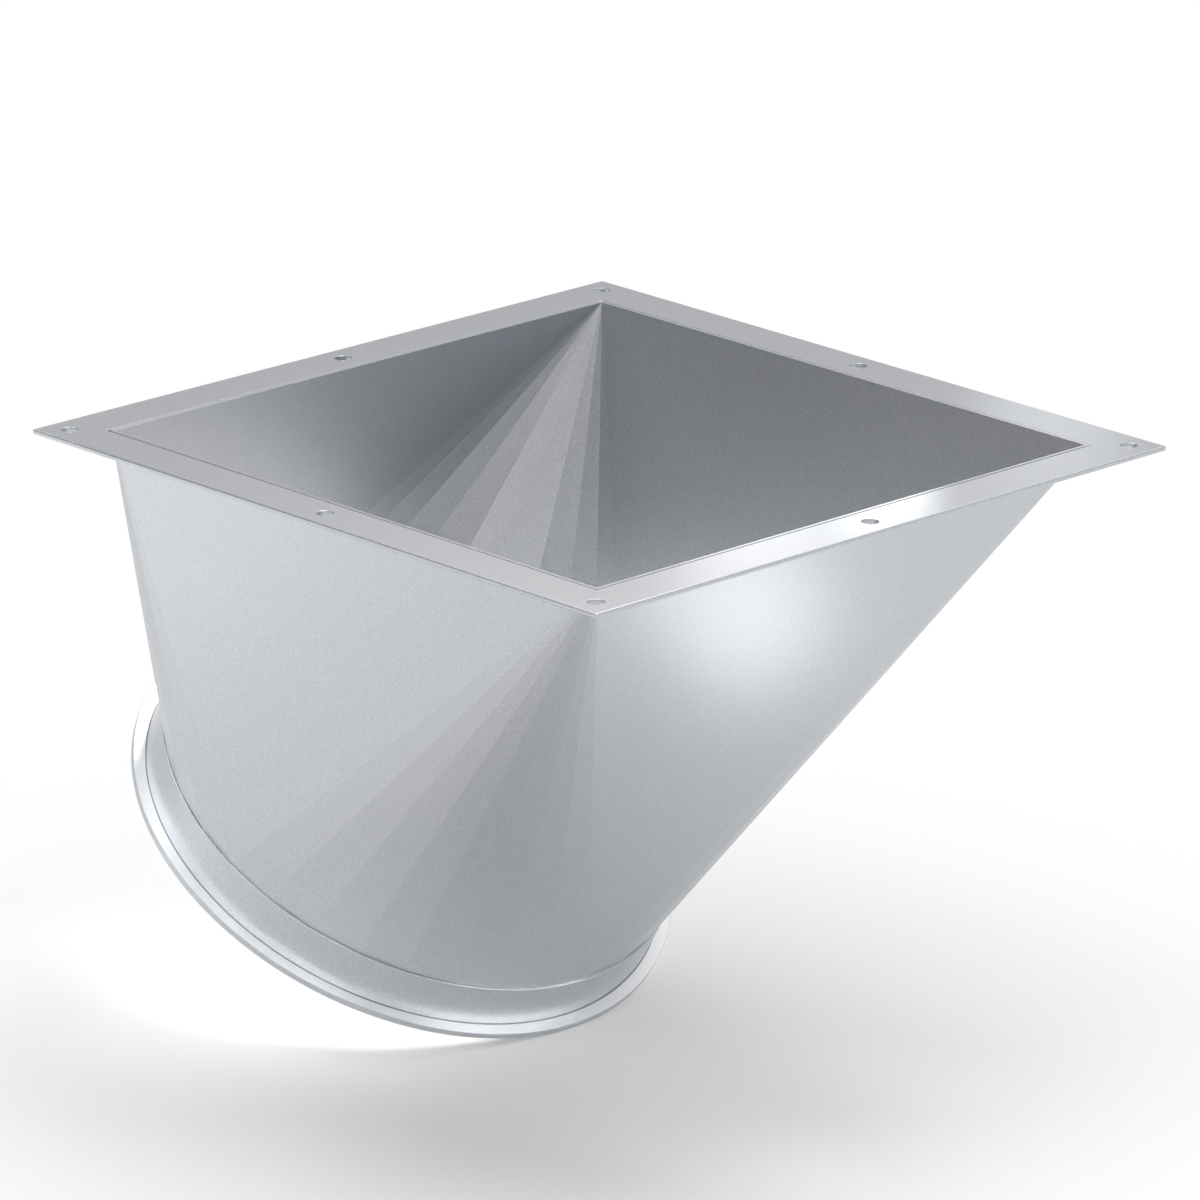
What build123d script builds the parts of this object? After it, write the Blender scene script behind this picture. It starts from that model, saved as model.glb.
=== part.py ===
from build123d import *
import math
import os

# Duct transition piece, welded from three pieces: a square inlet flange, a folded sheet body
# and a short round outlet collar with a flat lip, tilted to one side. Millimetres and degrees.
# The origin is the centre of the flange's top face, +Z points up out of the inlet,
# and the outlet leans towards -X, with the plane y = 0 as the plane of symmetry.

# Square inlet
opening_side = 400.0  # square opening in the flange's top face
flange_width = 30.0  # flat border outside that square
flange_thickness = 3.0
weld_groove = 1.0  # width of the groove between the opening's upper edge and the sheet
hole_diameter = 10.0
holes_per_side = 3  # counted with both corner holes

# Folded sheet body
sheet_thickness = 2.0
front_folds = 8  # facets in each corner fan on the side that the outlet leans away from
rear_folds = 9  # facets in each of the other two corner fans

# Round outlet
outlet_bore = 320.0
outlet_tilt = 30.0  # between the outlet's axis and the vertical
outlet_reach = 290.0  # along that axis, from the flange's top face to the collar
collar_wall = 3.0
collar_length = 29.0  # from the body's round end to the lip
lip_width = 8.0  # how far the lip stands out from the collar
lip_thickness = 4.0
mouth_radius = 2.0  # rounding where the bore turns out into the lip's face

# Sizes that follow from these
flange_side = opening_side + 2 * flange_width
hole_pitch = (opening_side + flange_width) / (holes_per_side - 1)
groove_depth = flange_thickness / 2
sheet_reach = opening_side / 2 - weld_groove - sheet_thickness  # to the sheet's inner face at the inlet
bore_radius = outlet_bore / 2
collar_radius = bore_radius + collar_wall
lip_radius = collar_radius + lip_width
spout_length = collar_length + lip_thickness

# The outlet's axis passes through the centre of the flange's top face. The joint plane is where
# the body meets the collar: local x points to its lowest point and local z out of the outlet.
tilt = math.radians(outlet_tilt)
outlet_axis = Vector(-math.sin(tilt), 0, -math.cos(tilt))
lowest = Vector(math.cos(tilt), 0, -math.sin(tilt))
joint_plane = Plane(origin=outlet_axis * outlet_reach, x_dir=lowest, z_dir=outlet_axis)

# Outward directions of the four flat walls in plan, in the order in which they follow each
# other round the outlet, and the number of facets in the corner fan after each wall
wall_directions = [Vector(1, 0), Vector(0, -1), Vector(-1, 0), Vector(0, 1)]
fan_folds = [front_folds, rear_folds, rear_folds, front_folds]


def side_apex_angle():
    """Angle on the round end, from its lowest point, where a side wall first touches it as the
    wall swings in about its inlet edge."""
    depth = outlet_reach * math.cos(tilt)
    lift = sheet_reach * math.sin(tilt)
    return math.acos(-bore_radius * math.sin(tilt) / math.hypot(depth, lift)) - math.atan2(lift, depth)


def fan_angles():
    """For each corner fan the angles of its fold lines on the round end, evenly spaced between
    the apexes of the two walls beside it."""
    side = side_apex_angle()
    apexes = [0, side, math.pi, 2 * math.pi - side, 2 * math.pi]
    fans = []
    for start, end, folds in zip(apexes, apexes[1:], fan_folds):
        fans.append([start + (end - start) * fold / folds for fold in range(folds + 1)])
    return fans


def ring_point(angle):
    """Point of the sheet's inner face on the round end."""
    return joint_plane.from_local_coords((bore_radius * math.cos(angle), bore_radius * math.sin(angle), 0))


def polygon(points):
    return Face(Wire.make_polygon(points))


def inlet_corners():
    """Corners of the sheet's inner face at the inlet, each between a wall and the next."""
    following = wall_directions[1:] + wall_directions[:1]
    return [(one + other) * sheet_reach for one, other in zip(wall_directions, following)]


def inner_facets():
    """Flat triangles of the sheet's inner face in order round the duct: each wall runs from its
    inlet edge to its apex on the round end, and the fan after it turns about the inlet corner."""
    corners = inlet_corners()
    facets = []
    for side, angles in enumerate(fan_angles()):
        fan = [ring_point(angle) for angle in angles]
        facets.append((corners[side - 1], corners[side], fan[0]))
        for near, far in zip(fan, fan[1:]):
            facets.append((corners[side], far, near))
    return facets


def inner_form():
    """Everything inside the sheet's inner face, from the inlet plane to the collar."""
    round_end = [ring_point(angle) for angles in fan_angles() for angle in angles[:-1]]
    ends = [polygon(inlet_corners()), polygon(round_end)]
    return Solid(Shell([polygon(facet) for facet in inner_facets()] + ends))


def meeting_point(first, second, third):
    """Point shared by three planes, each given by its normal and its distance from the origin."""
    (normal_1, distance_1), (normal_2, distance_2), (normal_3, distance_3) = first, second, third
    total = normal_2.cross(normal_3) * distance_1
    total += normal_3.cross(normal_1) * distance_2
    total += normal_1.cross(normal_2) * distance_3
    return total / normal_1.dot(normal_2.cross(normal_3))


def outer_form():
    """Everything inside the sheet's outer face: the plane of each inner facet, moved out by the
    sheet's thickness, meets the next one in a fold line between the inlet and the collar."""
    planes = []
    for corner, second, third in inner_facets():
        normal = (second - corner).cross(third - corner).normalized()
        planes.append((normal, normal.dot(corner) + sheet_thickness))
    following = planes[1:] + planes[:1]
    inlet_plane = (Vector(0, 0, 1), 0)
    outlet_plane = (outlet_axis, outlet_reach)
    upper = [meeting_point(one, other, inlet_plane) for one, other in zip(planes, following)]
    lower = [meeting_point(one, other, outlet_plane) for one, other in zip(planes, following)]
    faces = [polygon(upper), polygon(lower)]
    for number in range(len(planes)):
        faces.append(polygon([upper[number - 1], upper[number], lower[number], lower[number - 1]]))
    return Solid(Shell(faces))


def make_transition_body():
    """Folded sheet of even thickness, open at the square inlet and at the round end."""
    return outer_form() - inner_form()


def make_inlet_flange():
    """Square plate whose opening is bevelled to the lean of the walls, so that the sheet's edge
    comes through it flush with the top face. The opening's upper edge is chamfered to leave a
    groove for the weld, and the bolt holes follow the middle of the border."""
    plate = Box(flange_side, flange_side, flange_thickness, align=(Align.CENTER, Align.CENTER, Align.MAX))
    chamfer_angle = math.degrees(math.atan2(weld_groove, groove_depth))
    groove = extrude(Rectangle(opening_side, opening_side), -groove_depth, taper=chamfer_angle)
    flange = plate - groove - outer_form()
    last = holes_per_side - 1
    for row in range(holes_per_side):
        for column in range(holes_per_side):
            if row in (0, last) or column in (0, last):
                centre = Location(((column - last / 2) * hole_pitch, (row - last / 2) * hole_pitch, 0))
                flange -= centre * Cylinder(hole_diameter / 2, 3 * flange_thickness)
    return flange


def make_outlet_collar():
    """Round collar, butted to the body's round end, with a flat lip turned out at its mouth."""
    outline = Polyline(
        (bore_radius, spout_length - mouth_radius),
        (bore_radius, 0),
        (collar_radius, 0),
        (collar_radius, collar_length),
        (lip_radius, collar_length),
        (lip_radius, spout_length),
        (bore_radius + mouth_radius, spout_length),
    )
    mouth = RadiusArc(outline @ 0, outline @ 1, mouth_radius)
    section = Plane.XZ * make_face([outline, mouth])
    return joint_plane.location * revolve(section, Axis.Z)


nodes = {
    "inlet_flange": make_inlet_flange(),
    "transition_body": make_transition_body(),
    "outlet_collar": make_outlet_collar(),
}
os.makedirs("parts", exist_ok=True)
for name, shape in nodes.items():
    export_step(shape, f"parts/{name}.step")
    print(f"{name}: {shape.volume / 1000:.1f} cm3")
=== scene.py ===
import math

import bmesh
import bpy
import numpy as np
from mathutils import Matrix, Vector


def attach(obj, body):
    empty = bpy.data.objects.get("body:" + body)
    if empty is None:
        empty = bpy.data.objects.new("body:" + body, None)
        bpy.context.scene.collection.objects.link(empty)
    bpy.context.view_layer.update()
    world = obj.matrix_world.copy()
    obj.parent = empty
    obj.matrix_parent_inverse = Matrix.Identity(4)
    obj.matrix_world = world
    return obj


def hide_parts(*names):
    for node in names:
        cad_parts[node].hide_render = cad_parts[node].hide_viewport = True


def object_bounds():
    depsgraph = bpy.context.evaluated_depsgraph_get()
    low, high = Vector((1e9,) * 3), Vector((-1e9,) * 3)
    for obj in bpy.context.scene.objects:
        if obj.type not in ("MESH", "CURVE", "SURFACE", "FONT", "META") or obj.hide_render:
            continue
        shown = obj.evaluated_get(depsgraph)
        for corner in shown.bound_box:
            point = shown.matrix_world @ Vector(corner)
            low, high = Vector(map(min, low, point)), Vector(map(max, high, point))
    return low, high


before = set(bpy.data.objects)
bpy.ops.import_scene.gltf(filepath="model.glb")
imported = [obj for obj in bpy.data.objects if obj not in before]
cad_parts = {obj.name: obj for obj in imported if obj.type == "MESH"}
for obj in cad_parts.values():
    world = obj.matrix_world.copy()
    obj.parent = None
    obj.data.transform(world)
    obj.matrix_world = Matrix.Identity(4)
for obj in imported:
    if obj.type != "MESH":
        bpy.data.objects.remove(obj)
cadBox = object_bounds()
print("frame loaded with", len(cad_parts), "nodes")

mm = 0.001  # metres in a millimetre; the pieces below are worked out in millimetres
mergeWithin = 1e-7  # metres; points of neighbouring patches that are nearer than this become one


# Shared helpers

def srgbHex(code):
    # sRGB hex to linear: the usual curve with its straight foot below 0.04045
    c = np.array([int(code[i:i + 2], 16) for i in (1, 3, 5)]) / 255
    linear = np.where(c <= 0.04045, c / 12.92, ((c + 0.055) / 1.055) ** 2.4)
    return (*linear.tolist(), 1.0)


def unit(vectors):
    # vectors divided by their own lengths
    return vectors / np.linalg.norm(vectors, axis=-1, keepdims=True)


def addObject(name, data):
    item = bpy.data.objects.new(name, data)
    bpy.context.collection.objects.link(item)
    return item


def turnAndPlace(item, right, up, back, where):
    # matrix of a lamp or a camera: its three axes and its place as columns
    place = np.eye(4)
    place[:3] = np.stack([right, up, back, where], 1)
    item.matrix_world = Matrix(place.tolist())


def addNode(tree, kind, inputs=None, **settings):
    # one node with its settings; an input that is given a socket is linked, any other is set
    node = tree.nodes.new(kind)
    for key, value in settings.items():
        setattr(node, key, value)
    for socket, value in (inputs or {}).items():
        if isinstance(value, bpy.types.NodeSocket):
            tree.links.new(value, node.inputs[socket])
        else:
            node.inputs[socket].default_value = value
    return node


def gridFaces(rows, columns, closeU, closeV):
    # quads between neighbouring rows and columns of a grid; a closed direction wraps round
    u = np.arange(rows if closeU else rows - 1)[:, None]
    v = np.arange(columns if closeV else columns - 1)[None, :]
    nextU, nextV = (u + 1) % rows, (v + 1) % columns
    corners = (u * columns + v, nextU * columns + v, nextU * columns + nextV, u * columns + nextV)
    return np.stack(np.broadcast_arrays(*corners), -1).reshape(-1, 4)


def quarterRound(corner, toFirst, toSecond, radius, steps):
    # rounded corner: corner + radius * ((1 - sin a) * one side + (1 - cos a) * other side),
    # with a from 0 to a right angle, so it leaves along one side and arrives along the other
    a = np.linspace(0, math.pi / 2, steps + 1).reshape(-1, *[1] * corner.ndim)
    return corner + radius * ((1 - np.sin(a)) * toFirst + (1 - np.cos(a)) * toSecond)


def pieceFromPatches(name, patches):
    # joins grids of points, each with its two closed flags and its smooth faces, into one closed shell
    points, faces, smooth, start = [], [], [], 0
    for grid, closeU, closeV, smoothFaces in patches:
        quads = gridFaces(grid.shape[0], grid.shape[1], closeU, closeV)
        points.append(grid.reshape(-1, 3))
        faces.append(quads + start)
        smooth.append(np.broadcast_to(smoothFaces, len(quads)))
        start += grid.shape[0] * grid.shape[1]
    mesh = bpy.data.meshes.new(name)
    mesh.from_pydata((np.concatenate(points) * mm).tolist(), [], np.concatenate(faces).tolist())
    mesh.polygons.foreach_set("use_smooth", np.concatenate(smooth))
    shell = bmesh.new()
    shell.from_mesh(mesh)
    bmesh.ops.remove_doubles(shell, verts=shell.verts, dist=mergeWithin)
    bmesh.ops.recalc_face_normals(shell, faces=shell.faces)
    shell.to_mesh(mesh)
    shell.free()
    return addObject(name, mesh)


def dress(piece, node, material):
    piece.data.materials.append(material)
    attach(piece, "root")
    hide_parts(node)
    print(piece.name, "made with", len(piece.data.polygons), "faces")


# Material: satin cold-rolled sheet steel, fine bead-blasted. The eye sees a pale, slightly blue
# grey metal with a broad soft shine, an even salt-like grain and a faint leathery ripple.

steelSpec = {
    "pale": "#D6D9DD",
    "deep": "#B6B9BD",
    "saltSpread": (0.3, 0.7),  # part of the grain's noise that runs from the deep tone to the pale one
    "roughness": (0.34, 0.44),
    "paintedLipHighlight": "#F2F3F4",  # painted highlight: the lip's upper side is coloured brighter than the rest to stand in for the light it catches
    "lipTopRoughness": 0.52,
    "corner": "#84878A",  # painted shade in the rounding at the lip's root
    "grainMm": 0.7,  # real bead marks are about 0.2 mm; drawn coarser so that they show
    "grainHeightMm": 0.015,
    "rippleMm": 2.2,
    "rippleHeightMm": 0.03,
}


def makeSatinSteel(name, spec):
    material = bpy.data.materials.new(name)
    material.use_nodes = True
    tree = material.node_tree
    shader = tree.nodes["Principled BSDF"]
    place = addNode(tree, "ShaderNodeTexCoord").outputs["Object"]
    grain = addNode(tree, "ShaderNodeTexNoise", {
        "Vector": place, "Scale": 1 / (spec["grainMm"] * mm), "Detail": 2.0, "Roughness": 0.6})
    ripple = addNode(tree, "ShaderNodeTexNoise", {
        "Vector": place, "Scale": 1 / (spec["rippleMm"] * mm), "Detail": 1.0, "Roughness": 0.4})
    # the noise stays near its middle, so its spread is stretched before it tints the steel;
    # a mix node's colours are its sockets 6 and 7 and its output 2, after those for numbers and vectors
    salt = addNode(tree, "ShaderNodeMapRange", {
        "Value": grain.outputs["Fac"], "From Min": spec["saltSpread"][0], "From Max": spec["saltSpread"][1]})
    tone = addNode(tree, "ShaderNodeMix", {
        0: salt.outputs["Result"], 6: srgbHex(spec["deep"]), 7: srgbHex(spec["pale"])}, data_type="RGBA")
    # painted highlight: the lip's upper side is mixed to a brighter colour, and below it is also made duller
    paintedLipHighlight = addNode(tree, "ShaderNodeAttribute", attribute_name="paintedLipHighlight")
    tone = addNode(tree, "ShaderNodeMix", {
        0: paintedLipHighlight.outputs["Fac"], 6: tone.outputs[2], 7: srgbHex(spec["paintedLipHighlight"])}, data_type="RGBA")
    # painted shade: the rounding at the lip's root is mixed to a dark grey
    corner = addNode(tree, "ShaderNodeAttribute", attribute_name="corner")
    tone = addNode(tree, "ShaderNodeMix", {
        0: corner.outputs["Fac"], 6: tone.outputs[2], 7: srgbHex(spec["corner"])}, data_type="RGBA")
    shine = addNode(tree, "ShaderNodeMapRange", {
        "Value": salt.outputs["Result"], "To Min": spec["roughness"][0], "To Max": spec["roughness"][1]})
    shine = addNode(tree, "ShaderNodeMapRange", {
        "Value": paintedLipHighlight.outputs["Fac"], "To Min": shine.outputs["Result"], "To Max": spec["lipTopRoughness"]})
    wave = addNode(tree, "ShaderNodeBump", {
        "Height": ripple.outputs["Fac"], "Strength": 1.0, "Distance": spec["rippleHeightMm"] * mm})
    marks = addNode(tree, "ShaderNodeBump", {
        "Height": grain.outputs["Fac"], "Normal": wave.outputs["Normal"], "Strength": 1.0,
        "Distance": spec["grainHeightMm"] * mm})
    shader.inputs["Metallic"].default_value = 1.0
    tree.links.new(tone.outputs[2], shader.inputs["Base Color"])
    tree.links.new(shine.outputs["Result"], shader.inputs["Roughness"])
    tree.links.new(marks.outputs["Normal"], shader.inputs["Normal"])
    return material


satinSteel = makeSatinSteel("satinColdRolledSteelBeadBlasted", steelSpec)
print("materials made")


# Duct body: one sheet folded from the square inlet to the tilted round end

ductSpec = {
    "inletHalf": 197.0,  # to the sheet's inner face in the inlet plane
    "sheet": 2.0,
    "bore": 160.0,
    "reach": 290.0,  # along the outlet's axis to the round end
    "tilt": math.radians(30.0),
    "frontFolds": 8,  # facets in each fan on the side that the outlet leans away from
    "rearFolds": 9,
    "edgeRound": 0.3,
    "edgeSteps": 3,
}
sinTilt, cosTilt = math.sin(ductSpec["tilt"]), math.cos(ductSpec["tilt"])
outletAxis = np.array([-sinTilt, 0, -cosTilt])
lowWay = np.array([cosTilt, 0, -sinTilt])  # from the axis to the round end's lowest point
sideWay = np.array([0, -1.0, 0])
roundCentre = ductSpec["reach"] * outletAxis


def aroundOutlet(angles, radius, along=0.0):
    # circle about the outlet's axis: centre + along * axis + radius * (cos * low way + sin * side way)
    ring = np.cos(angles)[..., None] * lowWay + np.sin(angles)[..., None] * sideWay
    return roundCentre + np.asarray(along)[..., None] * outletAxis + np.asarray(radius)[..., None] * ring


def foldLines(spec):
    # inner fold lines: each inlet corner carries a fan of lines to the round end, evenly spaced between
    # the points where the flat walls touch it; a side wall touches at the angle a where
    # depth * cos a - lift * sin a = -bore * sin tilt, as a plane through its inlet edge is tangent there
    depth, lift = spec["reach"] * cosTilt, spec["inletHalf"] * sinTilt
    side = math.acos(-spec["bore"] * sinTilt / math.hypot(depth, lift)) - math.atan2(lift, depth)
    stops = np.array([0, side, math.pi, 2 * math.pi - side, 2 * math.pi])
    counts = [spec["frontFolds"], spec["rearFolds"], spec["rearFolds"], spec["frontFolds"]]
    angles = np.concatenate([np.linspace(a, b, n + 1) for a, b, n in zip(stops, stops[1:], counts)])
    corners = np.array([(1, -1, 0), (-1, -1, 0), (-1, 1, 0), (1, 1, 0)]) * spec["inletHalf"]
    return np.repeat(corners, np.array(counts) + 1, axis=0), aroundOutlet(angles, spec["bore"])


def outerPlanes(spec, top, bottom):
    # plane of each facet between a fold line and the one before it, moved out by the sheet's thickness:
    # its unit normal and its distance from the origin
    across = (top - np.roll(top, 1, axis=0)) + (bottom - np.roll(bottom, 1, axis=0))
    normals = unit(np.cross(across, bottom - top))
    return normals, np.sum(normals * top, axis=1) + spec["sheet"]


def outerLines(spec, top, bottom):
    # outer fold lines: two neighbouring outer planes meet the inlet plane and the round end's plane
    # in one point each
    normals, offsets = outerPlanes(spec, top, bottom)
    following = np.roll(normals, -1, axis=0)
    inletPlane, roundPlane = (np.array([0, 0, 1.0]), 0.0), (outletAxis, spec["reach"])
    ends = []
    for endNormal, endOffset in (inletPlane, roundPlane):
        planes = np.stack([normals, following, np.broadcast_to(endNormal, normals.shape)], axis=1)
        values = np.stack([offsets, np.roll(offsets, -1), np.full(len(offsets), endOffset)], axis=1)
        ends.append(np.linalg.solve(planes, values[..., None])[..., 0])
    return ends


def makeDuctBody(spec):
    # a closed profile of four rounded corners, carried from fold line to fold line round the duct
    innerTop, innerBottom = foldLines(spec)
    outerTop, outerBottom = outerLines(spec, innerTop, innerBottom)
    loop = [outerTop, outerBottom, innerBottom, innerTop]
    rows = []
    for i, corner in enumerate(loop):
        before, after = unit(loop[i - 1] - corner), unit(loop[(i + 1) % len(loop)] - corner)
        rows.append(quarterRound(corner, before, after, spec["edgeRound"], spec["edgeSteps"]))
    grid = np.concatenate(rows)
    smoothRows = np.tile(np.arange(spec["edgeSteps"] + 1) < spec["edgeSteps"], len(loop))
    return pieceFromPatches("ductBody", [(grid, True, True, np.repeat(smoothRows, grid.shape[1]))])


ductBody = makeDuctBody(ductSpec)
dress(ductBody, "transition_body", satinSteel)


# Outlet collar: a turned ring with a flat lip

collarSpec = {
    "bore": 160.0,
    "neck": 163.0,
    "lip": 171.0,
    "neckLength": 29.0,
    "length": 33.0,
    "edgeRound": 0.35,
    "rootRound": 0.6,  # where the lip leaves the neck
    "mouthRound": 2.0,
    "edgeSteps": 6,
    "support": 0.15,  # ring of points beside each rounding, so that the flats shade flat
    "flatWithin": 0.005,  # how near to the lip's upper side a face counts as part of it
    "around": 288,
}


def makeOutletCollar(spec):
    # profile of radius and distance along the axis with every corner rounded, turned about the axis
    corners = np.array([
        (spec["bore"], 0), (spec["neck"], 0), (spec["neck"], spec["neckLength"]),
        (spec["lip"], spec["neckLength"]), (spec["lip"], spec["length"]), (spec["bore"], spec["length"])])
    edge, root, mouth = spec["edgeRound"], spec["rootRound"], spec["mouthRound"]
    radii = np.array([edge, edge, root, edge, edge, mouth])[:, None]
    before = unit(np.roll(corners, 1, axis=0) - corners)
    after = unit(np.roll(corners, -1, axis=0) - corners)
    arcs = quarterRound(corners, before, after, radii, spec["edgeSteps"])
    reach = radii + spec["support"]
    profile = np.concatenate([[corners + reach * before], arcs, [corners + reach * after]])
    profile = profile.swapaxes(0, 1).reshape(-1, 2)
    angles = np.linspace(0, 2 * math.pi, spec["around"], endpoint=False)
    grid = aroundOutlet(angles[None, :], profile[:, :1], profile[:, 1:])
    piece = pieceFromPatches("outletCollar", [(grid, True, True, True)])
    # the lip's flat upper side gets a painted highlight and a duller finish, and the rounding at its root
    # gets painted shade
    centres = np.empty(len(piece.data.polygons) * 3)
    piece.data.polygons.foreach_get("center", centres)
    centres = centres.reshape(-1, 3) / mm - roundCentre
    along = centres @ outletAxis
    height = np.linalg.norm(centres - along[:, None] * outletAxis, axis=1) - spec["neck"]
    below = spec["neckLength"] - along
    marks = {
        "paintedLipHighlight": np.abs(below) < spec["flatWithin"],
        # painted shade in the rounding at the lip's root
        "corner": (below > spec["flatWithin"]) & (below < root) & (height < root)}
    for name, where in marks.items():
        piece.data.attributes.new(name, "FLOAT", "FACE").data.foreach_set("value", where.astype(float))
    return piece


outletCollar = makeOutletCollar(collarSpec)
dress(outletCollar, "outlet_collar", satinSteel)


# Inlet flange: a square plate with eight bolt holes and a fine groove round the sheet's edge.
# A level of its opening is z, xm, xp, ym, yp: the height and the -X, +X, -Y and +Y sides.

flangeSpec = {
    "half": 230.0,
    "thickness": 3.0,
    "openingHalf": 200.0,  # in the top face
    "grooveWidth": 1.0,
    "grooveDepth": 1.5,
    "holeRadius": 5.0,
    "holeLine": 215.0,  # from the centre to the middle of the border
    "cellHalf": 15.0,  # half length of the plain cell round a mid-side hole
    "cellSteps": 16,
    "cellRows": (0.0, 0.3, 1.0),  # rows of points from a hole's circle to its cell's border
    "rimRound": 0.8,  # rounding of the plate's outer edges
    "rimSteps": 4,
    "edgeRound": 0.3,  # rounding of its other edges, where two faces meet at more than the angle
    "edgeSteps": 3,
    "edgeAngle": math.radians(30.0),
}


def openingLevels(spec, duct):
    # the groove slopes from the top face to its foot, and below it the opening follows the outer faces
    # of the sheet's flat walls; a wall's face at height z stands out from the centre by
    # (offset - vertical part of its normal * z) / horizontal part of its normal
    top, bottom = foldLines(duct)
    normals, offsets = outerPlanes(duct, top, bottom)
    walls = np.any(top != np.roll(top, 1, axis=0), axis=1)  # facets between two inlet corners
    upright, outward = normals[walls, 2], np.hypot(normals[walls, 0], normals[walls, 1])
    mouth, foot = spec["openingHalf"], spec["openingHalf"] - spec["grooveWidth"]
    levels = []
    for z, groove in ((0.0, mouth), (-spec["grooveDepth"], foot), (-spec["thickness"], 0.0)):
        xp, ym, xm, yp = np.maximum((offsets[walls] - upright * z) / outward, groove)
        levels.append((z, -xm, xp, -ym, yp))
    return levels


def spread(a, b):
    # even stops along one side of a cell
    return np.linspace(a, b, flangeSpec["cellSteps"] + 1)


def pairs(x, y):
    # flat points from two rows of coordinates, or from a row and one fixed value
    return np.stack(np.broadcast_arrays(x, y), -1)


def atHeight(flat, z):
    # the same points in space, all at one height
    return np.concatenate([flat, np.full(flat.shape[:-1] + (1,), z)], axis=-1)


def holeCell(x0, x1, y0, y1, centre, z):
    # straight blend from the hole's circle to the cell's rectangle, both walked from the same corner
    xs, ys = spread(x0, x1), spread(y0, y1)
    border = np.concatenate([
        pairs(xs[:-1], y0), pairs(x1, ys[:-1]), pairs(xs[:0:-1], y1), pairs(x0, ys[:0:-1])])
    a = np.linspace(-0.75 * math.pi, 1.25 * math.pi, len(border), endpoint=False)
    circle = np.array(centre) + flangeSpec["holeRadius"] * pairs(np.cos(a), np.sin(a))
    t = np.array(flangeSpec["cellRows"])[:, None, None]
    return atHeight((1 - t) * circle + t * border, z)


def strip(xa, ya, xb, yb, z):
    # flat strip between two facing cell sides
    return atHeight(np.stack([pairs(xa, ya), pairs(xb, yb)]), z)


def plateSide(level):
    # one flat side of the plate at its height: eight hole cells and the strips between them
    z, xm, xp, ym, yp = level
    h, c = flangeSpec["half"] - flangeSpec["rimRound"], flangeSpec["cellHalf"]
    line = flangeSpec["holeLine"]
    # where each row of cells begins and ends, and where its holes are
    spansX = ((-h, xm, -line), (-c, c, 0.0), (xp, h, line))
    spansY = ((-h, ym, -line), (-c, c, 0.0), (yp, h, line))
    cells, strips = [], []
    for x0, x1, holeX in spansX:
        for y0, y1, holeY in spansY:
            if holeX or holeY:  # the middle of the plate is its opening
                cells.append(holeCell(x0, x1, y0, y1, (holeX, holeY), z))
    for x0, x1 in ((-h, xm), (xp, h)):
        xs = spread(x0, x1)
        strips += [strip(xs, ym, xs, -c, z), strip(xs, c, xs, yp, z)]
    for y0, y1 in ((-h, ym), (yp, h)):
        ys = spread(y0, y1)
        strips += [strip(xm, ys, -c, ys, z), strip(c, ys, xp, ys, z)]
    return cells, strips


def squareWalk(stopsX, stopsY, xm, xp, ym, yp, z):
    # walk round a rectangle: up the +X side, back along +Y, down -X and out along -Y
    sides = [pairs(xp, stopsY), pairs(stopsX[::-1], yp), pairs(xm, stopsY[::-1]), pairs(stopsX, ym)]
    return atHeight(np.concatenate([side[:-1] for side in sides]), z)


def rimWalks(level, bend):
    # the plate's outer edge turns from a flat side to the rim: half side = half - r * (1 - sin a) and
    # depth = r * (1 - cos a), with a from 0 to a right angle; bend is the way from the flat side
    z, xm, xp, ym, yp = level
    c, r = flangeSpec["cellHalf"], flangeSpec["rimRound"]
    walks = []
    for a in np.linspace(0, math.pi / 2, flangeSpec["rimSteps"] + 1):
        h = flangeSpec["half"] - r * (1 - math.sin(a))
        outX = np.concatenate([spread(-h, xm), spread(-c, c), spread(xp, h)])
        outY = np.concatenate([spread(-h, ym), spread(-c, c), spread(yp, h)])
        walks.append(squareWalk(outX, outY, -h, h, -h, h, z + bend * r * (1 - math.cos(a))))
    return walks


def makeInletFlange(spec, duct):
    # flat sides, hole walls, the opening's stepped wall and the rounded rim, joined into one shell
    c = spec["cellHalf"]
    levels = openingLevels(spec, duct)
    top, bottom = levels[0], levels[-1]
    borders = []
    for z, xm, xp, ym, yp in levels:
        stopsX = np.concatenate([[xm], spread(-c, c), [xp]])
        stopsY = np.concatenate([[ym], spread(-c, c), [yp]])
        borders.append(squareWalk(stopsX, stopsY, xm, xp, ym, yp, z))
    topCells, topStrips = plateSide(top)
    bottomCells, bottomStrips = plateSide(bottom)
    rim = np.stack(rimWalks(top, -1) + rimWalks(bottom, 1)[::-1])
    patches = [(cell, False, True, False) for cell in topCells + bottomCells]
    patches += [(one, False, False, False) for one in topStrips + bottomStrips]
    patches += [(rim, False, True, True), (np.stack(borders), False, True, False)]
    for upper, lower in zip(topCells, bottomCells):
        patches.append((np.stack([upper[0], lower[0]]), False, True, True))
    piece = pieceFromPatches("inletFlange", patches)
    edge = piece.modifiers.new("brokenEdges", "BEVEL")
    edge.width = spec["edgeRound"] * mm
    edge.segments = spec["edgeSteps"]
    edge.limit_method = "ANGLE"
    edge.angle_limit = spec["edgeAngle"]
    edge.harden_normals = True
    return piece


inletFlange = makeInletFlange(flangeSpec, ductSpec)
dress(inletFlange, "inlet_flange", satinSteel)


# Stage, in metres: a plain pale floor under the lip, which runs out into a white backdrop

floorSpec = {
    "half": 30.0,
    "height": cadBox[0][2],
    "colour": "#F4F4F4",
    "roughness": 0.9,
    "centre": (0.03, -0.12),  # of the shadow that the floor keeps
    "backdrop": (0.0, 0.65),  # distances from the centre where the backdrop begins and is plain white
}


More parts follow.
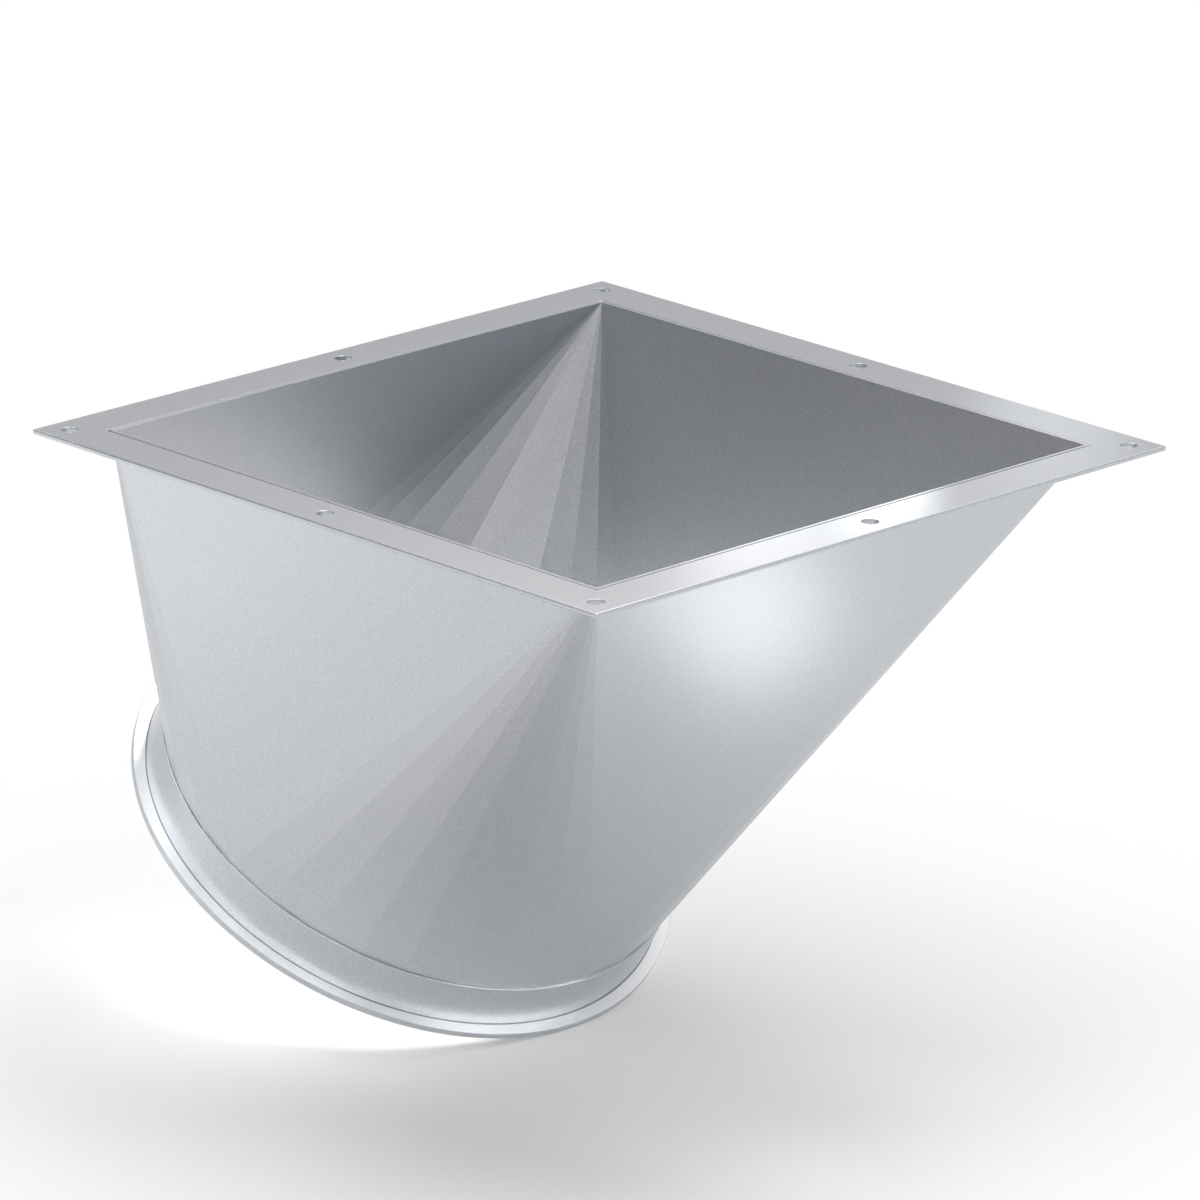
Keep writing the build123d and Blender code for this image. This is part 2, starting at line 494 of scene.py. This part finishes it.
def makeFloor(spec):
    mesh = bpy.data.meshes.new("floor")
    s, z = spec["half"], spec["height"]
    mesh.from_pydata([(-s, -s, z), (s, -s, z), (s, s, z), (-s, s, z)], [], [(0, 1, 2, 3)])
    floor = addObject("floor", mesh)
    material = bpy.data.materials.new("mattWhiteFloor")
    material.use_nodes = True
    tree = material.node_tree
    shader = tree.nodes["Principled BSDF"]
    shader.inputs["Base Color"].default_value = srgbHex(spec["colour"])
    shader.inputs["Roughness"].default_value = spec["roughness"]
    shader.inputs["Specular IOR Level"].default_value = 0.0
    # the backdrop is plain white to the eye, in metal and through glass, and lights nothing else
    place = addNode(tree, "ShaderNodeTexCoord").outputs["Object"]
    away = addNode(tree, "ShaderNodeVectorMath", {0: place, 1: (*spec["centre"], z)}, operation="DISTANCE")
    ramp = addNode(tree, "ShaderNodeMapRange", {
        "Value": away.outputs["Value"], "From Min": spec["backdrop"][0], "From Max": spec["backdrop"][1]},
        interpolation_type="SMOOTHSTEP")
    path = addNode(tree, "ShaderNodeLightPath").outputs
    seen = addNode(tree, "ShaderNodeMath", {
        0: path["Is Camera Ray"], 1: path["Is Glossy Ray"]}, operation="ADD")
    seen = addNode(tree, "ShaderNodeMath", {
        0: seen.outputs["Value"], 1: path["Is Transmission Ray"]}, operation="ADD", use_clamp=True)
    share = addNode(tree, "ShaderNodeMath", {
        0: seen.outputs["Value"], 1: ramp.outputs["Result"]}, operation="MULTIPLY")
    white = addNode(tree, "ShaderNodeEmission", {"Strength": 1.0})
    mixed = addNode(tree, "ShaderNodeMixShader", {
        0: share.outputs["Value"], 1: shader.outputs["BSDF"], 2: white.outputs["Emission"]})
    tree.links.new(mixed.outputs["Shader"], tree.nodes["Material Output"].inputs["Surface"])
    mesh.materials.append(material)


makeFloor(floorSpec)


# Light: a pale surround with broad brighter patches, soft lamps for the places that they miss,
# and an arc of small gridded lamps along the lip, whose narrow beams light little else

surroundSpec = {
    "level": 0.23,
    "colour": "#FFFFFF",
    "patches": [  # way to the middle, cosines from it where a patch begins and is full, added level
        {"way": (0.0, 0.0, 1.0), "edge": (0.5, 0.95), "level": 0.6},
        {"way": (-0.67, 0.67, 0.31), "edge": (0.6, 0.95), "level": 0.24},
        {"way": (0.62, -0.71, 0.34), "edge": (0.6, 0.95), "level": 0.3},
        {"way": (0.67, 0.67, 0.25), "edge": (0.5, 0.95), "level": 0.34},
        {"way": (-0.07, 0.67, 0.74), "edge": (0.7, 0.97), "level": 0.6},
    ],
}
# metres, watts and, where a beam is narrowed, degrees; each lip lamp is named for the place that it
# lights, in degrees round the outlet from its lowest point
lampSpecs = [
    {"name": "keyLeft", "size": 0.5, "watts": 0.3,
     "from": (-0.35, -0.9, 0.5), "to": (-0.2, -0.16, -0.27)},
    {"name": "lowLeft", "size": 0.3, "watts": 0.09,
     "from": (-0.53, -0.47, -0.26), "to": (-0.19, -0.195, -0.02)},
    {"name": "overInlet", "size": 0.45, "watts": 4.2, "colour": "#FFF5F1",
     "from": (0.1, -0.1, 0.5), "to": (-0.15, 0.1, -0.2)},
    {"name": "rightEdge", "size": 0.1, "watts": 0.007, "beam": 80.0,
     "from": (0.013, 0.12, 0.093), "to": (0.215, -0.08, 0.0)},
    {"name": "rightPeak", "size": 0.06, "watts": 0.016,
     "from": (0.114, 0.12, 0.047), "to": (0.215, 0.02, 0.0)},
    {"name": "rightCorner", "size": 0.1, "watts": 0.003, "beam": 80.0,
     "from": (0.013, 0.37, 0.093), "to": (0.215, 0.17, 0.0)},
    {"name": "underRight", "size": 0.1, "watts": 0.035,
     "from": (0.203, 0.115, -0.247), "to": (0.195, -0.087, -0.025)},
    {"name": "lip150", "size": 0.1, "watts": 0.08, "beam": 60.0,
     "from": (-0.305, 0.07, -0.08), "to": (-0.285, -0.07, -0.2)},
    {"name": "lip110", "size": 0.2, "watts": 0.033, "beam": 30.0,
     "from": (-0.34, -0.27, 0.1), "to": (-0.21, -0.155, -0.25)},
    {"name": "lip85", "size": 0.2, "watts": 0.021, "beam": 30.0,
     "from": (-0.11, -0.43, -0.06), "to": (-0.147, -0.166, -0.283)},
    {"name": "lip60", "size": 0.2, "watts": 0.025, "beam": 30.0,
     "from": (0.13, -0.39, -0.2), "to": (-0.087, -0.1446, -0.318)},
    {"name": "lip30", "size": 0.16, "watts": 0.02, "beam": 30.0,
     "from": (0.313, -0.06, -0.27), "to": (-0.034, -0.0835, -0.345)},
    {"name": "lip10", "size": 0.12, "watts": 0.009, "beam": 30.0,
     "from": (0.28, 0.141, -0.286), "to": (-0.017, -0.029, -0.3585)},
]


def makeSurround(spec):
    world = bpy.data.worlds.new("surround")
    bpy.context.scene.world = world
    world.use_nodes = True
    tree = world.node_tree
    background = tree.nodes["Background"]
    way = addNode(tree, "ShaderNodeTexCoord").outputs["Generated"]
    strength = spec["level"]
    for patch in spec["patches"]:
        # the added level rises smoothly from the patch's edge to its middle
        facing = addNode(tree, "ShaderNodeVectorMath", {
            0: way, 1: unit(np.array(patch["way"])).tolist()}, operation="DOT_PRODUCT")
        added = addNode(tree, "ShaderNodeMapRange", {
            "Value": facing.outputs["Value"], "From Min": patch["edge"][0], "From Max": patch["edge"][1],
            "To Min": 0.0, "To Max": patch["level"]}, interpolation_type="SMOOTHSTEP")
        total = addNode(tree, "ShaderNodeMath", {0: strength, 1: added.outputs["Result"]}, operation="ADD")
        strength = total.outputs["Value"]
    background.inputs["Color"].default_value = srgbHex(spec["colour"])
    tree.links.new(strength, background.inputs["Strength"])


def makeLamp(spec):
    light = bpy.data.lights.new(spec["name"], "AREA")
    light.shape = "DISK"
    light.size = spec["size"]
    light.energy = spec["watts"]
    light.color = srgbHex(spec.get("colour", "#FFFFFF"))[:3]
    light.spread = math.radians(spec.get("beam", 180.0))
    lamp = addObject(spec["name"], light)
    start, target = np.array(spec["from"]), np.array(spec["to"])
    back = unit(start - target)
    right = unit(np.cross((0, 0, 1), back))
    turnAndPlace(lamp, right, np.cross(back, right), back, start)
    lamp.visible_camera = False


makeSurround(surroundSpec)
for lampSpec in lampSpecs:
    makeLamp(lampSpec)
print("stage and light made")


# Camera at the photograph's view: long lens, slightly above the flange, facing its front corner

cameraSpec = {
    "azimuth": math.radians(-44.936),
    "elevation": math.radians(18.074),
    "roll": math.radians(0.828),
    "distance": 5.2249,  # metres
    "offset": (0.0004, -0.0933),  # sideways and upward from the flange's centre, in metres
    "lens": 273.05,  # millimetres, as the sensor is
    "sensor": 36.0,
}


def makeCamera(spec):
    az, el, roll = spec["azimuth"], spec["elevation"], spec["roll"]
    back = np.array([math.cos(el) * math.cos(az), math.cos(el) * math.sin(az), math.sin(el)])
    level = unit(np.cross((0, 0, 1), back))
    steep = np.cross(back, level)
    right = math.cos(roll) * level + math.sin(roll) * steep
    up = math.cos(roll) * steep - math.sin(roll) * level
    where = spec["distance"] * back + spec["offset"][0] * right + spec["offset"][1] * up
    lens = bpy.data.cameras.new("camera")
    lens.lens = spec["lens"]
    lens.sensor_width = spec["sensor"]
    camera = addObject("camera", lens)
    turnAndPlace(camera, right, up, back, where)
    bpy.context.scene.camera = camera


makeCamera(cameraSpec)
bpy.context.scene.view_settings.view_transform = "Standard"
print("camera set")
